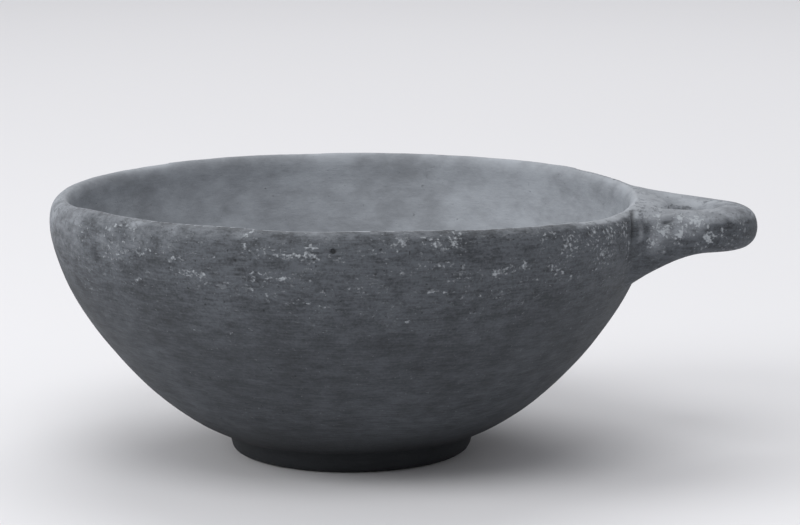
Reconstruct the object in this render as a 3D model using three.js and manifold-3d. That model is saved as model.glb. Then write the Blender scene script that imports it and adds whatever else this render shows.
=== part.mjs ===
// A hand-made pottery bowl: a deep round body on a low disc foot, with one loop handle at the rim.
// It was fired as one piece, so it is one solid, open at the top.
// Millimetres, +Z up. The origin is the middle of the foot's flat underside, and the handle points to +X.
import * as THREE from 'three';
import { mergeVertices } from 'three/addons/utils/BufferGeometryUtils.js';
import Module from 'manifold-3d';

// Body
const bodyRadius = 75;          // widest, a little under the rim
const widestHeight = 60;
const rimHeight = 65.8;
const lipThickness = 5.6;
const lipCrestRadius = 71.4;    // where the lip is highest
const lipInsideDrop = 3.2;      // the lip's inner edge is rounded over this height
const floorThickness = 6.5;     // under the middle of the hollow
// The wall's two sides are curves, and these are their pull points
const outerLowPull = { radius: 51.4, height: 11.2 };
const outerHighPull = 42.5;     // height, at the widest radius
const innerLowPull = 52;        // radius, at floor level
const innerHighPull = 50.5;     // height, at the lip's inner radius

// Foot
const restRadius = 27.5;        // flat underside
const footRadius = 30.5;
const footEdgeHeight = 3.2;     // its lower edge is rounded up to here
const footTop = 5.2;            // where the wall springs from the foot
const footTopRadius = 31;

// Handle: a roll of clay bent into a pointed loop and pressed on just under the rim
const handleReach = 101.3;      // its tip, from the axis
const rollWidth = 12.4;         // seen from above
const rootFlare = 9;            // wider by this where it is pressed on
const flareShare = 0.85;        // of an arm's length, over which it widens
const armSpread = 15.8;         // either arm, from the middle of the handle
const rootReach = 69;           // where the arms start, inside the wall
const armPull = { reach: 84, spread: 16.8 };
const tipPull = 8;              // half the blunt end of the loop
const handleTopAtRim = 65.6;
const handleTopAtTip = 62.85;
const handleTopSag = 0.68;      // halfway along an arm
const rootSink = 0.9;           // the top sinks by this where it goes into the rim
const sinkShare = 0.12;         // of an arm's length, over which it sinks
const undersideAtRim = 53.6;
const undersideAtTip = 51.95;
const rootDrop = 9;             // the underside also falls by this towards the wall
const dropShare = 0.67;         // of an arm's length, over which it falls
const rootDepth = 2.8;          // how far the arms' ends reach into the wall
// Clay smeared on the wall between the arms, in millimetres and degrees
const smear = { depth: 5, width: 11, lowest: 46, full: 56, rounding: 64 };

// How far the rim strays from level, as slow waves round the body: height, waves per turn, crest in degrees
const rimWaves = [
  { height: 0.24, count: 1, crest: 174 },
  { height: 0.67, count: 2, crest: 78 },
  { height: 0.24, count: 3, crest: 21 },
];
// Short sags and rises of the rim: height, place and width in degrees
const rimDents = [
  { height: -0.6, place: -28, width: 10 },
  { height: 0.25, place: -50, width: 12 },
  { height: -0.6, place: -97, width: 9 },
  { height: 0.6, place: -142, width: 10 },
];

const turnSides = 88;           // round the body
const wallSteps = 13;           // up each side of the wall
const cornerSteps = 4;          // round the lip and the foot's edge
const handleSteps = 40;         // along the handle
const rollSides = 16;           // round the handle
const rollSquareness = 2.3;     // 2 is a plain ellipse

const clay = new THREE.MeshStandardMaterial({ color: 0x66686c, roughness: 0.8, metalness: 0 });

const wasm = await Module();
wasm.setup();

// A closed geometry as a solid that can be joined
function solidFrom(geometry) {
  const bare = geometry.clone();
  bare.deleteAttribute('normal');
  bare.deleteAttribute('uv');
  const merged = mergeVertices(bare, 1e-4);
  const corners = merged.index.array;
  const triangles = [];
  for (let i = 0; i < corners.length; i += 3) {
    const [a, b, c] = [corners[i], corners[i + 1], corners[i + 2]];
    if (a !== b && b !== c && c !== a) triangles.push(a, b, c);
  }
  const mesh = new wasm.Mesh({
    numProp: 3,
    vertProperties: new Float32Array(merged.attributes.position.array),
    triVerts: new Uint32Array(triangles),
  });
  return new wasm.Manifold(mesh);
}

// The other way round: a solid as a geometry to show
function geometryFrom(solid) {
  const mesh = solid.getMesh();
  const geometry = new THREE.BufferGeometry();
  geometry.setAttribute('position', new THREE.BufferAttribute(mesh.vertProperties, 3));
  geometry.setIndex(new THREE.BufferAttribute(mesh.triVerts, 1));
  geometry.computeVertexNormals();
  return geometry;
}

// A quarter of an ellipse between two angles in degrees, without its first point
function corner(middleRadius, middleHeight, across, up, from, to) {
  const points = [];
  for (let i = 1; i <= cornerSteps; i += 1) {
    const angle = THREE.MathUtils.degToRad(from + ((to - from) * i) / cornerSteps);
    const radius = middleRadius + across * Math.cos(angle);
    points.push(new THREE.Vector2(radius, middleHeight + up * Math.sin(angle)));
  }
  return points;
}

// Outside of the wall, from the foot to its widest place
const outerWall = new THREE.CubicBezierCurve(
  new THREE.Vector2(footTopRadius, footTop),
  new THREE.Vector2(outerLowPull.radius, outerLowPull.height),
  new THREE.Vector2(bodyRadius, outerHighPull),
  new THREE.Vector2(bodyRadius, widestHeight),
).getPoints(wallSteps);

// Inside, from the lip down to the middle of the floor
const innerRadius = bodyRadius - lipThickness;
const innerWall = new THREE.CubicBezierCurve(
  new THREE.Vector2(innerRadius, widestHeight),
  new THREE.Vector2(innerRadius, innerHighPull),
  new THREE.Vector2(innerLowPull, floorThickness),
  new THREE.Vector2(0, floorThickness),
).getPoints(wallSteps);

// Half of the bowl cut through its axis, from the middle of the underside round to the middle of the floor
function bodyProfile() {
  const underside = [new THREE.Vector2(0, 0), new THREE.Vector2(restRadius, 0)];
  const footEdge = corner(restRadius, footEdgeHeight, footRadius - restRadius, footEdgeHeight, -90, 0);
  const lipOutside = corner(
    lipCrestRadius, widestHeight, bodyRadius - lipCrestRadius, rimHeight - widestHeight, 0, 90,
  );
  const lipInside = corner(
    lipCrestRadius, rimHeight - lipInsideDrop, lipCrestRadius - innerRadius, lipInsideDrop, 90, 180,
  );
  return [...underside, ...footEdge, ...outerWall, ...lipOutside, ...lipInside, ...innerWall];
}

// How much the rim is above its mean height in one direction
function rimLift(angle) {
  const degrees = THREE.MathUtils.radToDeg(angle);
  let lift = 0;
  for (const wave of rimWaves) {
    lift += wave.height * Math.cos(THREE.MathUtils.degToRad(wave.count * (degrees - wave.crest)));
  }
  for (const dent of rimDents) {
    const away = (degrees - dent.place) / dent.width;
    lift += dent.height * Math.exp(-away * away);
  }
  return lift;
}

// How thick the smeared clay between the arms is
function smearDepth(angle, height) {
  const away = THREE.MathUtils.radToDeg(angle) / smear.width;
  const rise = THREE.MathUtils.smoothstep(height, smear.lowest, smear.full);
  const fall = 1 - THREE.MathUtils.smoothstep(height, smear.rounding, rimHeight);
  return smear.depth * Math.exp(-away * away) * rise * fall;
}

// The body, turned round its axis and then warped as the rim is
function makeBody() {
  const profile = bodyProfile();
  const crest = profile.findIndex((point) => point.y === rimHeight);
  const turned = new THREE.LatheGeometry(profile, turnSides);
  turned.rotateX(Math.PI / 2);
  const places = turned.attributes.position;
  for (let i = 0; i < places.count; i += 1) {
    const [x, y, height] = [places.getX(i), places.getY(i), places.getZ(i)];
    const angle = Math.atan2(y, x);
    const smeared = i % profile.length < crest && height > smear.lowest;
    const wider = smeared ? 1 + smearDepth(angle, height) / Math.hypot(x, y) : 1;
    const share = (height / rimHeight) ** 3;
    places.setXYZ(i, x * wider, y * wider, height + share * rimLift(angle));
  }
  return solidFrom(turned);
}

// Where the handle's arms end inside the wall, as a radius for each height
function rootRadius(height) {
  const above = outerWall.findIndex((point) => point.y > height);
  if (above < 1) return lipCrestRadius;
  const low = outerWall[above - 1];
  const high = outerWall[above];
  const share = (height - low.y) / (high.y - low.y);
  return Math.min(THREE.MathUtils.lerp(low.x, high.x, share) - rootDepth, lipCrestRadius);
}

// The roll's middle line seen from above, for one arm, from the wall to the tip
const tipMiddle = handleReach - rollWidth / 2;
const armPlan = new THREE.CubicBezierCurve(
  new THREE.Vector2(rootReach, armSpread),
  new THREE.Vector2(armPull.reach, armPull.spread),
  new THREE.Vector2(tipMiddle, tipPull),
  new THREE.Vector2(tipMiddle, 0),
);

// Swells a sine or cosine, so that a circle becomes a slightly squarer round
function rounded(value) {
  return Math.sign(value) * Math.abs(value) ** (2 / rollSquareness);
}

// One ring of points round the roll. Along runs from -1 at one root, over 0 at the tip, to 1 at the other
function rollRing(along) {
  const onArm = 1 - Math.abs(along);
  const middle = armPlan.getPointAt(onArm);
  const course = armPlan.getTangentAt(onArm);
  const toTip = (middle.x - rootReach) / (tipMiddle - rootReach);
  const sag = handleTopSag * 4 * toTip * (1 - toTip);
  const sink = rootSink * Math.max(1 - toTip / sinkShare, 0) ** 2;
  const top = THREE.MathUtils.lerp(handleTopAtRim, handleTopAtTip, toTip) - sag - sink;
  const drop = rootDrop * Math.max(1 - toTip / dropShare, 0) ** 1.5;
  const bottom = THREE.MathUtils.lerp(undersideAtRim, undersideAtTip, toTip) - drop;
  const halfWidth = (rollWidth + rootFlare * Math.max(1 - toTip / flareShare, 0) ** 6) / 2;
  const ring = [];
  for (let i = 0; i < rollSides; i += 1) {
    const angle = (2 * Math.PI * i) / rollSides;
    const out = halfWidth * rounded(Math.cos(angle));
    const height = (top + bottom) / 2 + ((top - bottom) / 2) * rounded(Math.sin(angle));
    const x = middle.x - course.y * out;
    const y = middle.y + course.x * out;
    const pull = onArm === 0 ? rootRadius(height) / Math.hypot(x, y) : 1;
    ring.push(new THREE.Vector3(x * pull, y * pull * (along > 0 ? -1 : 1), height));
  }
  return ring;
}

// The roll, closed at both ends, which lie inside the wall
function makeHandle() {
  const points = [];
  for (let i = 0; i <= handleSteps; i += 1) points.push(...rollRing((2 * i) / handleSteps - 1));
  const triangles = [];
  for (let i = 0; i < handleSteps; i += 1) {
    for (let j = 0; j < rollSides; j += 1) {
      const next = (j + 1) % rollSides;
      const [a, b] = [i * rollSides + j, i * rollSides + next];
      triangles.push(a, b, a + rollSides, b, b + rollSides, a + rollSides);
    }
  }
  const lastRing = handleSteps * rollSides;
  for (let j = 1; j < rollSides - 1; j += 1) {
    triangles.push(0, j + 1, j);
    triangles.push(lastRing, lastRing + j, lastRing + j + 1);
  }
  const geometry = new THREE.BufferGeometry().setFromPoints(points);
  geometry.setIndex(triangles);
  return solidFrom(geometry);
}

const bowl = new THREE.Mesh(geometryFrom(makeBody().add(makeHandle())), clay);
bowl.name = 'bowl';

const group = new THREE.Group();
group.add(bowl);

export default group;
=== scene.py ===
# A hand-made pottery bowl with one loop handle, old and a little crusted, on a pale studio floor
import math

import bpy
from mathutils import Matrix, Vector, noise
from mathutils.geometry import interpolate_bezier, intersect_point_line


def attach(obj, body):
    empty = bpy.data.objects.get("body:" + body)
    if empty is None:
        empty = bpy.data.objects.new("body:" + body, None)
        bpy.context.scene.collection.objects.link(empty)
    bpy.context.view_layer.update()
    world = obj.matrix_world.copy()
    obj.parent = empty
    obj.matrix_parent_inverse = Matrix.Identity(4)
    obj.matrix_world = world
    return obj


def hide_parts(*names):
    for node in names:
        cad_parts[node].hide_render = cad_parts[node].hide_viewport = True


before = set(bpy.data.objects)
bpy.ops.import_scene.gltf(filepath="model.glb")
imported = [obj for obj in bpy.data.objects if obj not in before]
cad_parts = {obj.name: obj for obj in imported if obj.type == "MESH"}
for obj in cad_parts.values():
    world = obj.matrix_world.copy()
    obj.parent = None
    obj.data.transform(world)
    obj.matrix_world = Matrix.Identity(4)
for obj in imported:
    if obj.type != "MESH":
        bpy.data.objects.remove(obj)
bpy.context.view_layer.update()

scene = bpy.context.scene

sameSpot = 0.00001             # points nearer than this are one

# the sockets of a Mix node that mixes colours
mixFactor, mixFirst, mixSecond, mixResult = 0, 6, 7, 2


def deselectAll():
    if bpy.context.object and bpy.context.object.mode != "OBJECT":
        bpy.ops.object.mode_set(mode="OBJECT")
    bpy.ops.object.select_all(action="DESELECT")


def pickOnly(piece):
    deselectAll()
    piece.select_set(True)
    bpy.context.view_layer.objects.active = piece


def applyAll(piece):
    pickOnly(piece)
    for modifier in list(piece.modifiers):
        bpy.ops.object.modifier_apply(modifier=modifier.name)


def smoothStep(low, high, value):
    share = min(max((value - low) / (high - low), 0), 1)
    return share * share * (3 - 2 * share)


# camera, light and floor, set to match the photo

view = {
    "place": (0.0510, -0.7294, 0.1678),
    "lookDown": 0.1632975,     # under level, in radians
    "lookLeft": 3.03,          # from straight ahead, in degrees
    "lens": 133.1,
    "sensorWidth": 36,
    "nearClip": 0.01,
}
studio = {
    # place, size across and power of each soft light
    "backLight": ((0, 1.1, 1.905), 1.8, 17.5),
    "leftLight": ((-1.02, -0.48, 0.60), 0.7, 7.4),
    "frontLight": ((0, -0.65, 1.126), 0.7, 4.0),
    "litPoint": (0, 0, 0.03),  # all three point at it
    "lowSky": (0.30, 0.30, 0.31, 1),
    "highSky": (0.567, 0.567, 0.584, 1),
    "skyRise": 0.6,            # where it is bright, as the sine of the height over the horizon
    "floorRadius": 6, "floorSides": 96,
    "floorPaint": (0.74, 0.74, 0.755, 1),
    "floorPatch": 1.02,        # its paler patches
    "patchScale": 1.5,
}


def addCamera():
    turn = (math.pi / 2 - view["lookDown"], 0, math.radians(view["lookLeft"]))
    bpy.ops.object.camera_add(location=view["place"], rotation=turn)
    camera = bpy.context.object
    camera.name = "pictureCamera"
    camera.data.lens = view["lens"]
    camera.data.sensor_width = view["sensorWidth"]
    camera.data.sensor_fit = "HORIZONTAL"
    camera.data.clip_start = view["nearClip"]
    scene.camera = camera


def addSoftLight(name, place, size, power):
    towards = Vector(studio["litPoint"]) - Vector(place)
    turn = towards.to_track_quat("-Z", "Y").to_euler()
    bpy.ops.object.light_add(type="AREA", location=place, rotation=turn)
    light = bpy.context.object
    light.name = name
    light.data.shape = "DISK"
    light.data.size = size
    light.data.energy = power


def addRoom():
    scene.view_settings.view_transform = "Standard"
    sky = bpy.data.worlds.new("paleRoom")
    sky.use_nodes = True
    nodes = sky.node_tree.nodes
    links = sky.node_tree.links
    towards = nodes.new("ShaderNodeTexCoord")
    split = nodes.new("ShaderNodeSeparateXYZ")
    rise = nodes.new("ShaderNodeMapRange")
    rise.interpolation_type = "SMOOTHSTEP"
    rise.inputs["From Max"].default_value = studio["skyRise"]
    shade = nodes.new("ShaderNodeMix")
    shade.data_type = "RGBA"
    shade.inputs[mixFirst].default_value = studio["lowSky"]
    shade.inputs[mixSecond].default_value = studio["highSky"]
    links.new(towards.outputs["Generated"], split.inputs["Vector"])
    links.new(split.outputs["Z"], rise.inputs["Value"])
    links.new(rise.outputs["Result"], shade.inputs[mixFactor])
    links.new(shade.outputs[mixResult], nodes["Background"].inputs["Color"])
    scene.world = sky
    bpy.ops.mesh.primitive_circle_add(vertices=studio["floorSides"], radius=studio["floorRadius"],
                                      fill_type="NGON", location=(0, 0, 0))
    floor = bpy.context.object
    floor.name = "studioFloor"
    return floor


deselectAll()
addCamera()
for lightName in ("backLight", "leftLight", "frontLight"):
    addSoftLight(lightName, *studio[lightName])
floor = addRoom()
print("camera, lights and floor are in place")


# the body is its half section as one curve, spun round

body = {
    "restRadius": 0.0275, "footRadius": 0.0305, "footEdge": 0.0032,
    "footTopRadius": 0.0310, "footTop": 0.0052,
    "outerLowPull": (0.0514, 0.0112), "outerHighPull": 0.0425,
    "radius": 0.0750, "widestHeight": 0.0600,
    "crestRadius": 0.0714, "rimHeight": 0.0658,
    "innerRadius": 0.0694, "lipDrop": 0.0032,
    "innerHighPull": 0.0505, "innerLowPull": 0.0520, "floorHeight": 0.0065,
    "quarterPull": 0.4477,     # where the pulls of a quarter ellipse lie, from its corner
    "stepsPerSpan": 22, "sides": 240, "wallPoints": 120,
    # unevenness of the rim: height, waves per turn, crest in degrees
    "rimWaves": [(0.00024, 1, 174), (0.00067, 2, 78), (0.00024, 3, 21)],
    # sags and rises of the rim: height, place and width in degrees
    "rimDents": [(-0.0006, -28, 10), (0.00025, -50, 12), (-0.0006, -97, 9), (0.0006, -142, 10)],
    # clay smeared on the wall between the handle's arms: depth, width in degrees,
    # between which heights it thickens, and from where it rounds over into the rim
    "smear": (0.0050, 11, 0.046, 0.056, 0.064),
}


def sectionKnots():
    # each knot's place as radius and height, then the pulls before and after it
    b = body
    near = b["quarterPull"]
    footOut = b["restRadius"] + (b["footRadius"] - b["restRadius"]) * (1 - near)
    lipOut = b["crestRadius"] + (b["radius"] - b["crestRadius"]) * (1 - near)
    lipIn = b["crestRadius"] + (b["innerRadius"] - b["crestRadius"]) * (1 - near)
    lipOutUp = b["rimHeight"] + (b["widestHeight"] - b["rimHeight"]) * near
    innerTop = b["rimHeight"] - b["lipDrop"]
    lipInUp = b["rimHeight"] - b["lipDrop"] * near
    rest = (b["restRadius"], 0)
    foot = (b["footRadius"], b["footEdge"])
    footTop = (b["footTopRadius"], b["footTop"])
    widest = (b["radius"], b["widestHeight"])
    crest = (b["crestRadius"], b["rimHeight"])
    inner = (b["innerRadius"], innerTop)
    innerLow = (b["innerRadius"], b["widestHeight"])
    middle = (0, b["floorHeight"])
    return [
        ((0, 0), (0, 0), (0, 0)),
        (rest, rest, (footOut, 0)),
        (foot, (b["footRadius"], b["footEdge"] * near), foot),
        (footTop, footTop, b["outerLowPull"]),
        (widest, (b["radius"], b["outerHighPull"]), (b["radius"], lipOutUp)),
        (crest, (lipOut, b["rimHeight"]), (lipIn, b["rimHeight"])),
        (inner, (b["innerRadius"], lipInUp), inner),
        (innerLow, innerLow, (b["innerRadius"], b["innerHighPull"])),
        (middle, (b["innerLowPull"], b["floorHeight"]), middle),
    ]


def addCurve(name, knots, steps):
    bpy.ops.curve.primitive_bezier_curve_add(location=(0, 0, 0))
    line = bpy.context.object
    line.name = name
    line.data.resolution_u = steps
    points = line.data.splines[0].bezier_points
    points.add(len(knots) - 2)
    for point, (place, before, after) in zip(points, knots):
        point.handle_left_type = "FREE"
        point.handle_right_type = "FREE"
        point.co = place
        point.handle_left = before
        point.handle_right = after
    return line


def flatPoint(radius, height):
    return Vector((radius, 0, height))


outerWall = interpolate_bezier(
    flatPoint(body["footTopRadius"], body["footTop"]),
    flatPoint(*body["outerLowPull"]),
    flatPoint(body["radius"], body["outerHighPull"]),
    flatPoint(body["radius"], body["widestHeight"]),
    body["wallPoints"])


def outerRadius(height):
    # the wall's outside at a height
    for low, high in zip(outerWall, outerWall[1:]):
        if height < high.z:
            share = max((height - low.z) / (high.z - low.z), 0)
            return low.x + (high.x - low.x) * share
    return body["radius"]


def rimLift(angle):
    waves = sum(height * math.cos(math.radians(count * (angle - crest)))
                for height, count, crest in body["rimWaves"])
    dents = sum(height * math.exp(-((angle - place) / width) ** 2)
                for height, place, width in body["rimDents"])
    return waves + dents


def smearDepth(angle, height):
    depth, width, low, high, rounding = body["smear"]
    rise = smoothStep(low, high, height) * (1 - smoothStep(rounding, body["rimHeight"], height))
    return depth * math.exp(-(angle / width) ** 2) * rise


def addBody():
    knots = [tuple((radius, 0, height) for radius, height in knot) for knot in sectionKnots()]
    made = addCurve("bowl_clay", knots, body["stepsPerSpan"])
    bpy.ops.object.convert(target="MESH")
    bpy.ops.object.mode_set(mode="EDIT")
    bpy.ops.mesh.select_all(action="SELECT")
    bpy.ops.mesh.spin(steps=body["sides"], angle=2 * math.pi, center=(0, 0, 0), axis=(0, 0, 1))
    bpy.ops.mesh.select_all(action="SELECT")
    bpy.ops.mesh.remove_doubles(threshold=sameSpot)
    bpy.ops.mesh.normals_make_consistent(inside=False)
    bpy.ops.object.mode_set(mode="OBJECT")
    for vertex in made.data.vertices:
        x, y, z = vertex.co
        angle = math.degrees(math.atan2(y, x))
        radius = math.hypot(x, y)
        wider = 1 + smearDepth(angle, z) / radius if radius > body["crestRadius"] else 1
        vertex.co = (x * wider, y * wider, z + (z / body["rimHeight"]) ** 3 * rimLift(angle))
    return made


deselectAll()
bowlClay = addBody()
print("body spun:", len(bowlClay.data.vertices), "vertices")


# the handle is a straight roll, thicker at both ends, bent along its path

handle = {
    "tip": 0.1013, "width": 0.0124, "flare": 0.0090, "flareShare": 0.85,
    "rootReach": 0.0690, "spread": 0.0158,
    "armPull": (0.0840, 0.0168), "tipPull": 0.0080,
    "topAtRim": 0.0656, "topAtTip": 0.06285, "topSag": 0.00068,
    "rootSink": 0.0009, "sinkShare": 0.12,
    "undersideAtRim": 0.0536, "undersideAtTip": 0.05195,
    "rootDrop": 0.0090, "dropShare": 0.67,
    "rings": 64, "sides": 28, "squareness": 2.3,
    "pathSteps": 64, "armPoints": 400,
    "rootDepth": 0.0028,       # how far the arms' ends reach into the wall
}


def rounded(value):
    return math.copysign(abs(value) ** (2 / handle["squareness"]), value)


def rollSize(toTip):
    # width, underside and top of the roll, from 0 where it is pressed on to 1 at the tip
    h = handle
    sag = h["topSag"] * 4 * toTip * (1 - toTip)
    top = h["topAtRim"] + (h["topAtTip"] - h["topAtRim"]) * toTip - sag
    top -= h["rootSink"] * max(1 - toTip / h["sinkShare"], 0) ** 2
    drop = h["rootDrop"] * max(1 - toTip / h["dropShare"], 0) ** 1.5
    bottom = h["undersideAtRim"] + (h["undersideAtTip"] - h["undersideAtRim"]) * toTip - drop
    width = h["width"] + h["flare"] * max(1 - toTip / h["flareShare"], 0) ** 6
    return width, bottom, top


def addHandle():
    tipMiddle = handle["tip"] - handle["width"] / 2
    root = Vector((handle["rootReach"], handle["spread"], 0))
    rootPull = Vector((*handle["armPull"], 0))
    tip = Vector((tipMiddle, 0, 0))
    tipPull = Vector((tipMiddle, handle["tipPull"], 0))
    mirror = Vector((1, -1, 1))
    knots = [
        (root, root, rootPull),
        (tip, tipPull, tipPull * mirror),
        (root * mirror, rootPull * mirror, root * mirror),
    ]
    path = addCurve("handlePath", knots, handle["pathSteps"])
    path.data.twist_mode = "Z_UP"
    length = path.data.splines[0].calc_length()

    # how near each ring is to the tip, from where the path is after its share of the length
    arm = interpolate_bezier(root, rootPull, tipPull, tip, handle["armPoints"])
    walked = [0.0]
    for before, after in zip(arm, arm[1:]):
        walked.append(walked[-1] + (after - before).length)
    sizes = []
    for ring in range(handle["rings"] + 1):
        wanted = (1 - abs(1 - 2 * ring / handle["rings"])) * walked[-1]
        nearest = min(range(len(arm)), key=lambda index: abs(walked[index] - wanted))
        sizes.append(rollSize((arm[nearest].x - root.x) / (tip.x - root.x)))

    width, bottom, top = sizes[0]
    bpy.ops.mesh.primitive_circle_add(vertices=handle["sides"], radius=1, fill_type="NGON",
                                      location=(0, 0, 0), rotation=(0, math.pi / 2, 0))
    roll = bpy.context.object
    roll.name = "handleRoll"
    bpy.ops.object.transform_apply(location=True, rotation=True, scale=True)
    for vertex in roll.data.vertices:
        y, z = vertex.co.y, vertex.co.z
        vertex.co = (0, width / 2 * rounded(y), (top + bottom) / 2 + (top - bottom) / 2 * rounded(z))
    bpy.ops.object.mode_set(mode="EDIT")
    bpy.ops.mesh.select_all(action="SELECT")
    step = length / handle["rings"]
    for ring in range(1, handle["rings"] + 1):
        newWidth, newBottom, newTop = sizes[ring]
        bpy.ops.mesh.extrude_region_move(
            TRANSFORM_OT_translate={"value": (step, 0, (newTop + newBottom - top - bottom) / 2)})
        bpy.ops.transform.resize(
            value=(1, newWidth / width, (newTop - newBottom) / (top - bottom)),
            center_override=(ring * step, 0, (newTop + newBottom) / 2))
        width, bottom, top = sizes[ring]
    bpy.ops.mesh.select_all(action="SELECT")
    bpy.ops.mesh.normals_make_consistent(inside=False)
    bpy.ops.object.mode_set(mode="OBJECT")
    ends = [vertex.index for vertex in roll.data.vertices
            if not sameSpot < vertex.co.x < length - sameSpot]
    bend = roll.modifiers.new("bend", "CURVE")
    bend.object = path
    bend.deform_axis = "POS_X"
    applyAll(roll)
    for index in ends:         # both ends go into the wall
        place = roll.data.vertices[index].co
        inWall = min(outerRadius(place.z) - handle["rootDepth"], body["crestRadius"])
        share = inWall / math.hypot(place.x, place.y)
        place.x *= share
        place.y *= share
    bpy.data.objects.remove(path)
    return roll


deselectAll()
handleRoll = addHandle()
print("handle bent:", len(handleRoll.data.vertices), "vertices")


# then the roll is pressed on and the clay worked over

skin = {
    "grain": 0.00108,          # size of a face
    # beyond this reach, height and distance from the axis the faces are half that size
    "fineReach": 0.0680, "fineHeight": 0.045, "fineRadius": 0.0705,
    "softenPasses": 3, "rubPasses": 5,
    # the outside draws in by this, so the unevenness stays within the measured size,
    # and a face that points towards the axis doesn't
    "shrink": 0.00013, "shrinkFacing": (-0.6, 0.2),
    # unevenness: height, size and where its pattern starts
    "swell": (0.00024, 0.030, (3.1, 7.7, 1.9)),
    "lump": (0.00011, 0.0075, (11.3, 2.7, 5.9)),
    "crumb": (0.00016, 0.0021, 0.6),   # of the crust: height, size and what is even
    "flatUnderside": (0.0, 0.004),     # the unevenness comes in over this height
    "markReach": 0.022,        # no mark goes further from its first point
    "markFade": 3,             # and beyond so many widths from its line nothing is left of it
}

# marks along lines: width, rise, paleness, darkness, then points in millimetres
marks = {
    "seam": (0.0007, -0.0006, 0, 0.8, [
        (69.6, -20.4, 64.6), (69.8, -24.4, 63.0), (69.9, -26.1, 61.3), (69.8, -27.3, 59.1)]),
    "seamEnd": (0.0008, -0.0003, 0, 0.4, [
        (69.8, -27.3, 59.1), (69.4, -27.6, 56.2), (69.0, -27.3, 53.5)]),
    "ridge": (0.0015, 0.0004, 0.6, 0, [
        (70.8, -20.1, 63.9), (71.1, -22.5, 62.0), (71.5, -23.7, 59.8), (71.0, -24.3, 57.4)]),
    # the slot: a shallow groove with painted shade in it
    "slot": (0.0005, -0.0003, 0, 0.1, [
        (77.2, -20.8, 61.2), (78.3, -20.4, 61.5), (79.9, -19.8, 61.6)]),
    # a painted highlight on the slot's upper lip
    "slotLipHighlight": (0.0007, 0.0003, 0.9, 0, [(77.4, -20.0, 62.4), (79.3, -18.9, 62.6)]),
}

# pale and dark places, in metres, degrees and shares: some are wear, some are painted light and painted
# shade
wearAndPaintedLight = {
    "wall": 0.0034,            # the hollow starts this far inside the outer wall
    "handle": (0.0752, 0.0785),        # it starts between these distances from the axis
    "topFaces": (0.15, 0.75),          # how much a normal points up, from side to top
    # the lip is pale on top all round as worn, and paler on the left and the far side: painted light,
    # where the light falls on it
    "lip": {"heights": (0.0605, 0.0645), "all": 0.30, "left": 0.30, "far": 0.5},
    # a painted highlight on the near rim's crest, beside the handle
    "rimHighlight": {"pale": 1.1, "place": -28, "width": 9, "topFaces": (0.65, 0.95)},
    # painted light: the shoulder of the outside paler on the left, where light falls
    "litShoulder": {"pale": 0.60, "width": 55, "heights": (0.044, 0.064)},
    # painted light: the outside paler along its left edge, down the wall
    "litLeftSide": {"pale": 0.22, "width": 25, "heights": (0.012, 0.035)},
    "handleTop": {"heights": (0.055, 0.060), "root": (25, 14), "tip": (0.078, 0.098), "tipLess": 0.4},
    # the near arm is pale above a line that rises outwards from its foot
    "nearArm": {"pale": 0.55, "side": (0.003, 0.008), "foot": (0.075, 0.0515), "slope": 0.35,
                "over": (0.0, 0.006), "end": (0.086, 0.091)},
    # painted shade: the outside drawn darker low on the wall and on the foot
    "dark": (0.002, 0.020),            # dark up to the first height, and no more at the second
}

# how crust thins out: steepness, and after how many reaches nothing is left
crustFall = {"patch": (0.7, 3), "streak": (0.4, 4)}
streakArea = (70, 38)          # streaks lie within this reach and above this height, in millimetres

# patches of crust: place in millimetres, reach along the surface and thickness
crustPatches = [
    ((76.0, -20.5, 62.2), 2.4, 0.60), ((80.5, -19.3, 61.8), 3.2, 0.66), ((85.3, -17.8, 61.4), 2.8, 0.74),
    ((77.5, -21.8, 59.3), 2.8, 0.66), ((81.3, -20.8, 58.4), 2.4, 0.68), ((74.2, -23.2, 57.0), 2.6, 0.55),
    ((88.2, -17.9, 57.0), 2.2, 0.66), ((91.5, -15.8, 58.0), 2.2, 0.42), ((95.5, -12.0, 57.0), 2.4, 0.36),
    ((64.5, -37.0, 61.0), 4.6, 0.52), ((60.0, -42.5, 61.0), 5.0, 0.52), ((62.0, -41.5, 56.5), 4.4, 0.50),
    ((55.0, -50.5, 60.0), 4.2, 0.52), ((52.1, -53.5, 56.0), 4.2, 0.50), ((66.5, -31.5, 61.0), 3.6, 0.50),
    ((67.5, -29.5, 56.5), 3.6, 0.44), ((70.5, -23.5, 60.5), 1.6, 0.70), ((72.5, -22.5, 62.5), 1.6, 0.75),
]
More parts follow.
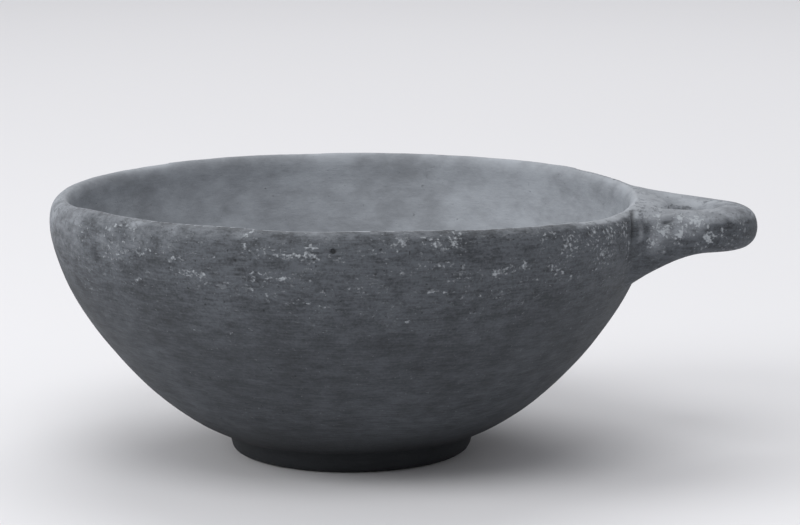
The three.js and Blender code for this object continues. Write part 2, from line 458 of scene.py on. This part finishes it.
# level streaks of crust round the body: angle, height, half length and half height in millimetres,
# and thickness
crustStreaks = [
    (-133, 57.6, 4, 1.2, 0.50), (-127, 59.3, 6, 1.0, 0.50), (-118, 58.6, 3, 1.0, 0.50),
    (-114, 60.0, 4, 0.9, 0.35), (-115, 55.8, 5, 0.8, 0.55), (-128, 52.4, 2, 0.8, 0.55),
    (-144, 48.6, 3, 2.5, 0.35), (-143, 61.4, 3, 2.5, 0.40), (-134, 63.6, 5, 1.6, 0.45),
    (-104, 65.4, 2, 0.7, 0.60), (-101, 62.0, 5, 0.9, 0.50), (-96, 61.0, 7, 0.9, 0.60),
    (-93, 62.2, 1.5, 2.2, 0.55), (-98, 55.6, 4, 0.8, 0.65), (-102, 55.4, 4, 1.5, 0.45),
    (-100, 52.6, 5, 1.6, 0.35), (-95, 50.5, 4, 1.6, 0.40), (-91, 52.2, 5, 1.0, 0.35),
    (-95, 46.7, 5, 1.2, 0.30), (-80, 63.0, 4, 1.4, 0.45), (-77, 64.0, 2, 0.9, 0.60),
    (-72, 64.6, 2.5, 0.8, 0.55), (-70, 62.8, 3, 1.2, 0.60), (-67, 63.9, 1.8, 2.0, 0.60),
    (-79, 57.6, 3, 1.4, 0.40), (-70, 58.6, 5, 0.8, 0.50), (-67, 54.6, 4, 0.9, 0.45),
    (-71, 52.1, 4, 0.6, 0.50), (-66, 52.2, 3, 0.6, 0.50), (-60, 55.6, 2.2, 1.2, 0.65),
    (-58, 56.1, 2.5, 0.8, 0.60), (-54, 56.8, 1.6, 1.2, 0.60), (-60, 50.6, 4, 0.8, 0.40),
    (-58, 49.1, 4, 1.0, 0.30), (-49, 63.3, 3, 1.5, 0.40), (-50, 52.9, 3, 1.0, 0.35),
    (-76, 45.1, 1.2, 0.8, 0.45), (-83, 47.3, 4, 0.6, 0.35), (-62, 40.9, 0.9, 0.9, 0.50),
    (-82, 52.7, 4, 1.0, 0.30),
]


def pressTogether():
    pickOnly(bowlClay)
    handleRoll.select_set(True)
    bpy.ops.object.join()
    press = bowlClay.modifiers.new("press", "REMESH")
    press.mode = "VOXEL"
    press.voxel_size = skin["grain"]
    soften = bowlClay.modifiers.new("soften", "SMOOTH")
    soften.factor = 0.5
    soften.iterations = skin["softenPasses"]
    applyAll(bowlClay)
    # finer faces on the handle and round its roots, then the joint is rubbed smooth
    bpy.ops.object.mode_set(mode="EDIT")
    bpy.ops.mesh.select_all(action="DESELECT")
    bpy.ops.object.mode_set(mode="OBJECT")
    for face in bowlClay.data.polygons:
        x, y, z = face.center
        outside = z > skin["fineHeight"] and math.hypot(x, y) > skin["fineRadius"]
        face.select = x > skin["fineReach"] and outside
    bpy.ops.object.mode_set(mode="EDIT")
    bpy.ops.mesh.subdivide(number_cuts=1)
    bpy.ops.mesh.vertices_smooth(factor=0.5, repeat=skin["rubPasses"])
    bpy.ops.object.mode_set(mode="OBJECT")
    bpy.ops.object.shade_smooth()


def nearLine(place, points):
    # how far a place is from a line of points
    nearest = 1.0
    for first, second in zip(points, points[1:]):
        share = intersect_point_line(place, first, second)[1]
        onLine = first.lerp(second, min(max(share, 0), 1))
        nearest = min(nearest, (place - onLine).length)
    return nearest


def crustAt(place, angle):
    spot = place * 1000
    thick = 0.0
    steep, limit = crustFall["patch"]
    for middle, reach, amount in crustPatches:
        away = (Vector(middle) - spot).length / reach
        if away < limit:
            thick = max(thick, amount * math.exp(-away * away * steep))
    steep, limit = crustFall["streak"]
    if spot.x < streakArea[0] and spot.z > streakArea[1]:
        for streakAngle, height, long, high, amount in crustStreaks:
            across = math.radians(angle - streakAngle) * body["radius"] * 1000 / long
            up = (spot.z - height) / high
            if abs(across) < limit and abs(up) < limit:
                thick = max(thick, amount * math.exp(-(across * across + up * up) * steep))
    return thick


def paleness(place, normal, hollow, onHandle):
    x, y, z = place
    angle = math.degrees(math.atan2(y, x))
    fromLeft = abs(angle) - 180
    upward = smoothStep(*wearAndPaintedLight["topFaces"], normal.z)

    lip = wearAndPaintedLight["lip"]
    litShoulder = wearAndPaintedLight["litShoulder"]
    # nearness to the left side, where the painted light lies
    left = math.exp(-(fromLeft / litShoulder["width"]) ** 2)
    onLip = smoothStep(*lip["heights"], z) * upward * (1 - onHandle)
    # the worn pale lip, with painted light on its left and far side
    pale = onLip * (lip["all"] + lip["left"] * left + (lip["far"] if y > 0 else 0))
    # painted light on the left of the shoulder
    pale += litShoulder["pale"] * left * smoothStep(*litShoulder["heights"], z) * (1 - hollow) * (1 - onLip)

    # the painted highlight on the rim's crest beside the handle
    spot = wearAndPaintedLight["rimHighlight"]
    onSpot = math.exp(-((angle - spot["place"]) / spot["width"]) ** 2) * (1 - onHandle)
    pale += spot["pale"] * smoothStep(*spot["topFaces"], normal.z) * onSpot

    # painted light along the left edge of the outside
    side = wearAndPaintedLight["litLeftSide"]
    onSide = math.exp(-(fromLeft / side["width"]) ** 2) * smoothStep(*side["heights"], z)
    pale += side["pale"] * onSide * (1 - hollow)

    top = wearAndPaintedLight["handleTop"]
    atRoot = smoothStep(*top["root"], abs(angle)) if x > 0 else 0
    onTop = max(onHandle, atRoot) * upward * smoothStep(*top["heights"], z)
    pale = max(pale, onTop * (1 - top["tipLess"] * smoothStep(*top["tip"], x)))

    arm = wearAndPaintedLight["nearArm"]
    above = z - arm["foot"][1] - arm["slope"] * (x - arm["foot"][0])
    onArm = onHandle * smoothStep(*arm["side"], -y) * smoothStep(*arm["over"], above)
    return max(pale, arm["pale"] * onArm * (1 - smoothStep(*arm["end"], x)))


def unevenness(place, normal, crust):
    height, size, start = skin["swell"]
    rise = height * noise.noise(place / size + Vector(start))
    height, size, start = skin["lump"]
    rise += height * noise.noise(place / size + Vector(start))
    height, size, even = skin["crumb"]
    rise += crust * height * (even + noise.noise(place / size))
    radius = max(math.hypot(place.x, place.y), 0.001)     # never 0, on the axis too
    outward = (normal.x * place.x + normal.y * place.y) / radius
    rise -= skin["shrink"] * smoothStep(*skin["shrinkFacing"], outward)
    return rise * smoothStep(*skin["flatUnderside"], place.z)


def workOver():
    mesh = bowlClay.data
    names = ("hollow", "pale", "dark", "crust")
    for name in names:
        mesh.attributes.new(name, "FLOAT", "POINT")
    fields = {name: mesh.attributes[name].data for name in names}
    lines = [(width, height, pale, dark, [Vector(point) / 1000 for point in points])
             for width, height, pale, dark, points in marks.values()]
    normals = [normal.vector.copy() for normal in mesh.vertex_normals]
    for vertex, normal in zip(mesh.vertices, normals):
        place = vertex.co.copy()
        x, y, z = place
        radius = math.hypot(x, y)
        innerSide = min(outerRadius(z) - wearAndPaintedLight["wall"], body["crestRadius"])
        hollow = 1.0 if z > body["footTop"] and radius < innerSide else 0.0
        onHandle = smoothStep(*wearAndPaintedLight["handle"], radius) if x > 0 else 0
        pale = paleness(place, normal, hollow, onHandle)
        # painted shade: darker low on the outside
        dark = (1 - smoothStep(*wearAndPaintedLight["dark"], z)) * (1 - hollow)
        crust = crustAt(place, math.degrees(math.atan2(y, x))) * (1 - hollow)
        rise = unevenness(place, normal, crust)
        for width, height, linePale, lineDark, points in lines:
            if (place - points[0]).length < skin["markReach"]:
                away = nearLine(place, points) / width
                if away < skin["markFade"]:
                    share = math.exp(-away * away)
                    rise += height * share
                    pale = max(pale, linePale * share)
                    dark = max(dark, lineDark * share)
                    crust *= 1 - share
        vertex.co = place + normal * rise
        for name, value in zip(names, (hollow, pale, dark, crust)):
            fields[name][vertex.index].value = value


pressTogether()
workOver()
print("clay worked:", sum(len(face.vertices) - 2 for face in bowlClay.data.polygons), "triangles")


class Wire:
    # one socket of a material, to reckon with
    def __init__(self, tree, socket=None):
        self.tree = tree
        self.socket = socket

    def node(self, kind, settings, values, output=0):
        made = self.tree.nodes.new(kind)
        for name, setting in settings.items():
            setattr(made, name, setting)
        for place, value in values.items():
            if isinstance(value, Wire):
                self.tree.links.new(value.socket, made.inputs[place])
            else:
                made.inputs[place].default_value = value
        return Wire(self.tree, made.outputs[output])

    def reckon(self, operation, *values):
        return self.node("ShaderNodeMath", {"operation": operation}, dict(enumerate(values)))

    def vector(self, operation, values, output):
        return self.node("ShaderNodeVectorMath", {"operation": operation}, values, output)

    def __add__(self, other):
        return self.reckon("ADD", self, other)

    def __radd__(self, other):
        return self.reckon("ADD", other, self)

    def __sub__(self, other):
        return self.reckon("SUBTRACT", self, other)

    def __rsub__(self, other):
        return self.reckon("SUBTRACT", other, self)

    def __mul__(self, other):
        return self.reckon("MULTIPLY", self, other)

    def __rmul__(self, other):
        return self.reckon("MULTIPLY", other, self)

    def most(self, other):
        return self.reckon("MAXIMUM", self, other)

    def between(self, low, high):
        # 0 at low, 1 at high, smooth in the middle
        return self.node("ShaderNodeMapRange", {"interpolation_type": "SMOOTHSTEP"},
                         {"Value": self, "From Min": low, "From Max": high})

    def mix(self, first, second):
        # the first colour where self is 0, the second where it is 1
        values = {mixFactor: self, mixFirst: first, mixSecond: second}
        return self.node("ShaderNodeMix", {"data_type": "RGBA"}, values, mixResult)

    def feed(self, shader, name):
        self.tree.links.new(self.socket, shader.inputs[name])


def newMaterial(name):
    material = bpy.data.materials.new(name)
    material.use_nodes = True
    return material, Wire(material.node_tree), material.node_tree.nodes["Principled BSDF"]


# noise patterns of the clay: scale, or scales round and up the wall, then detail and roughness
clayPatterns = {
    "cloud": (42, 3, 0.5),
    "blotch": ((120, 14), 3, 0.6),
    "mottle": ((200, 32), 5, 0.78),
    "wipe": ((230, 150), 3, 0.6),
    "fleck": (1500, 2, 0.6),
    "flake": ((620, 105), 3, 0.62),
    "chunk": (620, 3, 0.6),
    "spark": (1300, 1, 0.5),
    "pits": (900, 1, 0.5),
}
clayLook = {
    "climbFrom": 0.062,        # height that the angle up the wall is seen from
    "dark": (0.0310, 0.0343, 0.0392, 1),
    "light": (0.096, 0.1057, 0.1195, 1),
    "hollowDark": (0.200, 0.2134, 0.2316, 1),
    "hollowLight": (0.340, 0.3628, 0.3937, 1),
    # the dark colour of the marks and of the painted shade low on the wall
    "marksAndPaintedShade": (0.014, 0.0158, 0.0182, 1),
    # tones, from dark to light, and how much each pattern sways them
    "outTone": 0.38, "outSway": {"cloud": 0.6, "blotch": 0.7},
    "outRough": {"mottle": 2.2, "wipe": 1.3, "fleck": 1.3},    # half as much low on the wall
    "inTone": 0.5, "inSway": {"cloud": 1.6, "blotch": 1.3, "mottle": 0.8, "wipe": 0.15},
    # painted light: the hollow lighter towards the handle, on the side where the light falls
    "inRise": (-0.02, 2),      # lighter towards the handle: from where, and how steeply
    "toneRange": (-0.1, 1.1),
    "upper": (0.036, 0.056), "upperSway": 0.02, "upperLift": 0.24, "crustLift": 0.25,
    # edges of the hollow, the pale and the dark places, broken up by patterns
    "hollowEdge": (0.35, 0.65), "hollowSway": {"mottle": 0.5},
    "paleEdge": (0.1, 1.0), "paleSway": {"mottle": 0.8, "blotch": 0.7}, "paleFrom": (0, 0.3),
    "darkSway": {"blotch": 0.6}, "darkCover": 0.85,
    "roughness": 0.70, "roughSway": {"fleck": 0.3}, "specular": 0.3,
    # heights of the bump
    "wipeHeight": 0.25, "wipeCalm": 0.6, "mottleHeight": 0.45, "fleckHeight": 0.12,
    "bumpStrength": 0.8, "bumpDistance": 0.0005,
}
crustLook = {
    "dull": (0.142, 0.1537, 0.168, 1),
    "bright": (0.40, 0.427, 0.455, 1),
    "shape": {"flake": 0.5, "chunk": 0.3, "spark": 0.2},
    "spread": 0.30, "edge": (0.615, 0.715), "cover": 0.9,
    # scatter of dashes low and, more, high on the wall, and in which blotches
    "scatter": (0.10, 0.30), "scatterBlotch": (0.34, 0.62),
    "specks": (0.71, 0.83), "speckCover": 0.35,
    # brightness: from its grain, its thickness, and more so towards the handle
    "grain": {"spark": 1.8}, "thick": 0.85, "handle": 0.35, "handleFrom": (0.068, 0.075),
    "brightRange": (0.15, 0.95),
    "roughness": 0.12, "height": 0.45,
}
# dark marks: small pits all over, one larger hole, and a slot on the near arm, whose darkness is painted
# shade
markLook = {
    "pits": (0.235, 0.19), "pitsUpper": 0.03, "pitsPale": 0.85, "pitsCover": 0.6, "pitsDepth": 0.6,
    "hole": (0.0013, -0.0747, 0.0621), "holeEdge": (0.0008, 0.0004), "holeSway": {"fleck": 0.0006},
    "slotStart": (0.0770, -0.0209, 0.0611), "slotEnd": (0.0800, -0.0198, 0.0617),
    "slotEdge": (0.0005, 0.0001), "slotEnds": (-0.05, 0.2),
}


def slotMask(wire, place):
    # 1 along the slot, thinner towards its ends
    start = Vector(markLook["slotStart"])
    course = Vector(markLook["slotEnd"]) - start
    fromStart = wire.vector("SUBTRACT", {0: place, 1: tuple(start)}, "Vector")
    along = wire.vector("DOT_PRODUCT", {0: fromStart, 1: tuple(course / course.length_squared)}, "Value")
    along = wire.node("ShaderNodeClamp", {}, {"Value": along})
    onSlot = wire.vector("SCALE", {0: tuple(course), "Scale": along}, "Vector")
    away = wire.vector("DISTANCE", {0: fromStart, 1: onSlot}, "Value")
    return away.between(*markLook["slotEdge"]) * (along * (1 - along)).between(*markLook["slotEnds"])


def makeClay():
    material, wire, shader = newMaterial("firedClay")
    place = wire.node("ShaderNodeTexCoord", {}, {}, "Object")
    split = wire.node("ShaderNodeSeparateXYZ", {}, {"Vector": place}).socket.node
    x, y, z = (Wire(wire.tree, split.outputs[axis]) for axis in "XYZ")
    # an angle up the wall, so that lines run level round the body inside and outside
    climb = wire.reckon("ARCTAN2", wire.reckon("SQRT", x * x + y * y), clayLook["climbFrom"] - z)

    def addPattern(scale, detail, rough):
        vector = place
        if isinstance(scale, tuple):
            across, up = scale
            stretched = {"X": x * across, "Y": y * across, "Z": climb * up}
            vector = wire.node("ShaderNodeCombineXYZ", {}, stretched)
            scale = 1
        values = {"Vector": vector, "Scale": scale, "Detail": detail, "Roughness": rough}
        return wire.node("ShaderNodeTexNoise", {}, values, "Fac")

    def sway(weights):
        return sum((patterns[name] - 0.5) * weight for name, weight in weights.items())

    def field(name):
        return wire.node("ShaderNodeAttribute", {"attribute_name": name}, {}, "Fac")

    patterns = {name: addPattern(*settings) for name, settings in clayPatterns.items()}
    hollow = (field("hollow") + sway(clayLook["hollowSway"])).between(*clayLook["hollowEdge"])
    broken = sway(clayLook["paleSway"]) * field("pale").between(*clayLook["paleFrom"])
    pale = (field("pale") + broken).between(*clayLook["paleEdge"])
    dark = (field("dark") + sway(clayLook["darkSway"]) * field("dark")).between(0, 1)
    cloudy = (patterns["cloud"] - 0.5) * clayLook["upperSway"]
    upper = (z + cloudy).between(*clayLook["upper"])

    # the outside is dark and mottled, roughest in a band under the rim; the hollow is paler and calmer
    outTone = clayLook["outTone"] + sway(clayLook["outSway"])
    outTone += sway(clayLook["outRough"]) * (upper * 0.5 + 0.5)
    outTone += upper * clayLook["upperLift"] + field("crust") * clayLook["crustLift"]
    # painted light in the hollow, lighter towards the handle
    riseFrom, steep = clayLook["inRise"]
    inTone = clayLook["inTone"] + sway(clayLook["inSway"]) + hollow * (x - riseFrom) * steep
    outside = outTone.between(*clayLook["toneRange"]).mix(clayLook["dark"], clayLook["light"])
    inside = inTone.between(*clayLook["toneRange"]).mix(clayLook["hollowDark"], clayLook["hollowLight"])
    colour = hollow.most(pale).mix(outside, inside)

    # crust: the patches and streaks, and a scatter of fine level dashes and specks under the rim
    thick = field("crust")
    low, more = crustLook["scatter"]
    inBlotch = patterns["blotch"].between(*crustLook["scatterBlotch"])
    scatter = (upper * more + low) * (1 - hollow) * inBlotch
    shape = sum(patterns[name] * share for name, share in crustLook["shape"].items())
    crust = (shape + thick.most(scatter) * crustLook["spread"]).between(*crustLook["edge"])
    specks = patterns["spark"].between(*crustLook["specks"]) * (1 - hollow)
    crust = crust.most(specks * crustLook["speckCover"])
    byThickness = crustLook["thick"] + x.between(*crustLook["handleFrom"]) * crustLook["handle"]
    bright = (sway(crustLook["grain"]) + thick * byThickness).between(*crustLook["brightRange"])
    crustColour = bright.mix(crustLook["dull"], crustLook["bright"])
    colour = (crust * crustLook["cover"]).mix(colour, crustColour)

    # what is dark lies over it: the painted shade low on the wall, the dark joint lines and the dark
    # marks
    pits = (patterns["pits"] - upper * markLook["pitsUpper"]).between(*markLook["pits"])
    pits *= 1 - hollow.most(pale) * markLook["pitsPale"]
    hole = wire.vector("DISTANCE", {0: place, 1: markLook["hole"]}, "Value")
    hole = (hole + sway(markLook["holeSway"])).between(*markLook["holeEdge"])
    slot = slotMask(wire, place)
    # one dark colour over the dark marks and joint lines, and the painted shade low on the wall
    marksAndPaintedShade = (dark * clayLook["darkCover"]).most(pits * markLook["pitsCover"]).most(hole).most(slot)
    marksAndPaintedShade.mix(colour, clayLook["marksAndPaintedShade"]).feed(shader, "Base Color")

    roughness = clayLook["roughness"] + sway(clayLook["roughSway"]) + crust * crustLook["roughness"]
    roughness.feed(shader, "Roughness")
    height = patterns["wipe"] * clayLook["wipeHeight"] * (1 - hollow * clayLook["wipeCalm"])
    height += patterns["mottle"] * clayLook["mottleHeight"] + patterns["fleck"] * clayLook["fleckHeight"]
    height += crust * crustLook["height"] - pits * markLook["pitsDepth"] - hole - slot
    bump = {"Strength": clayLook["bumpStrength"], "Distance": clayLook["bumpDistance"], "Height": height}
    wire.node("ShaderNodeBump", {}, bump, "Normal").feed(shader, "Normal")
    shader.inputs["Specular IOR Level"].default_value = clayLook["specular"]
    return material


def makeFloorPaint():
    material, wire, shader = newMaterial("floorPaint")
    place = wire.node("ShaderNodeTexCoord", {}, {}, "Object")
    values = {"Vector": place, "Scale": studio["patchScale"], "Detail": 2.0}
    patch = wire.node("ShaderNodeTexNoise", {}, values, "Fac")
    paint = studio["floorPaint"]
    palerPaint = tuple(value * studio["floorPatch"] for value in paint[:3]) + (1,)
    patch.mix(paint, palerPaint).feed(shader, "Base Color")
    shader.inputs["Roughness"].default_value = 0.9
    shader.inputs["Specular IOR Level"].default_value = 0.1
    return material


bowlClay.data.materials.clear()
bowlClay.data.materials.append(makeClay())
floor.data.materials.append(makeFloorPaint())
print("materials made")

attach(bowlClay, "root")
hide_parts("bowl")
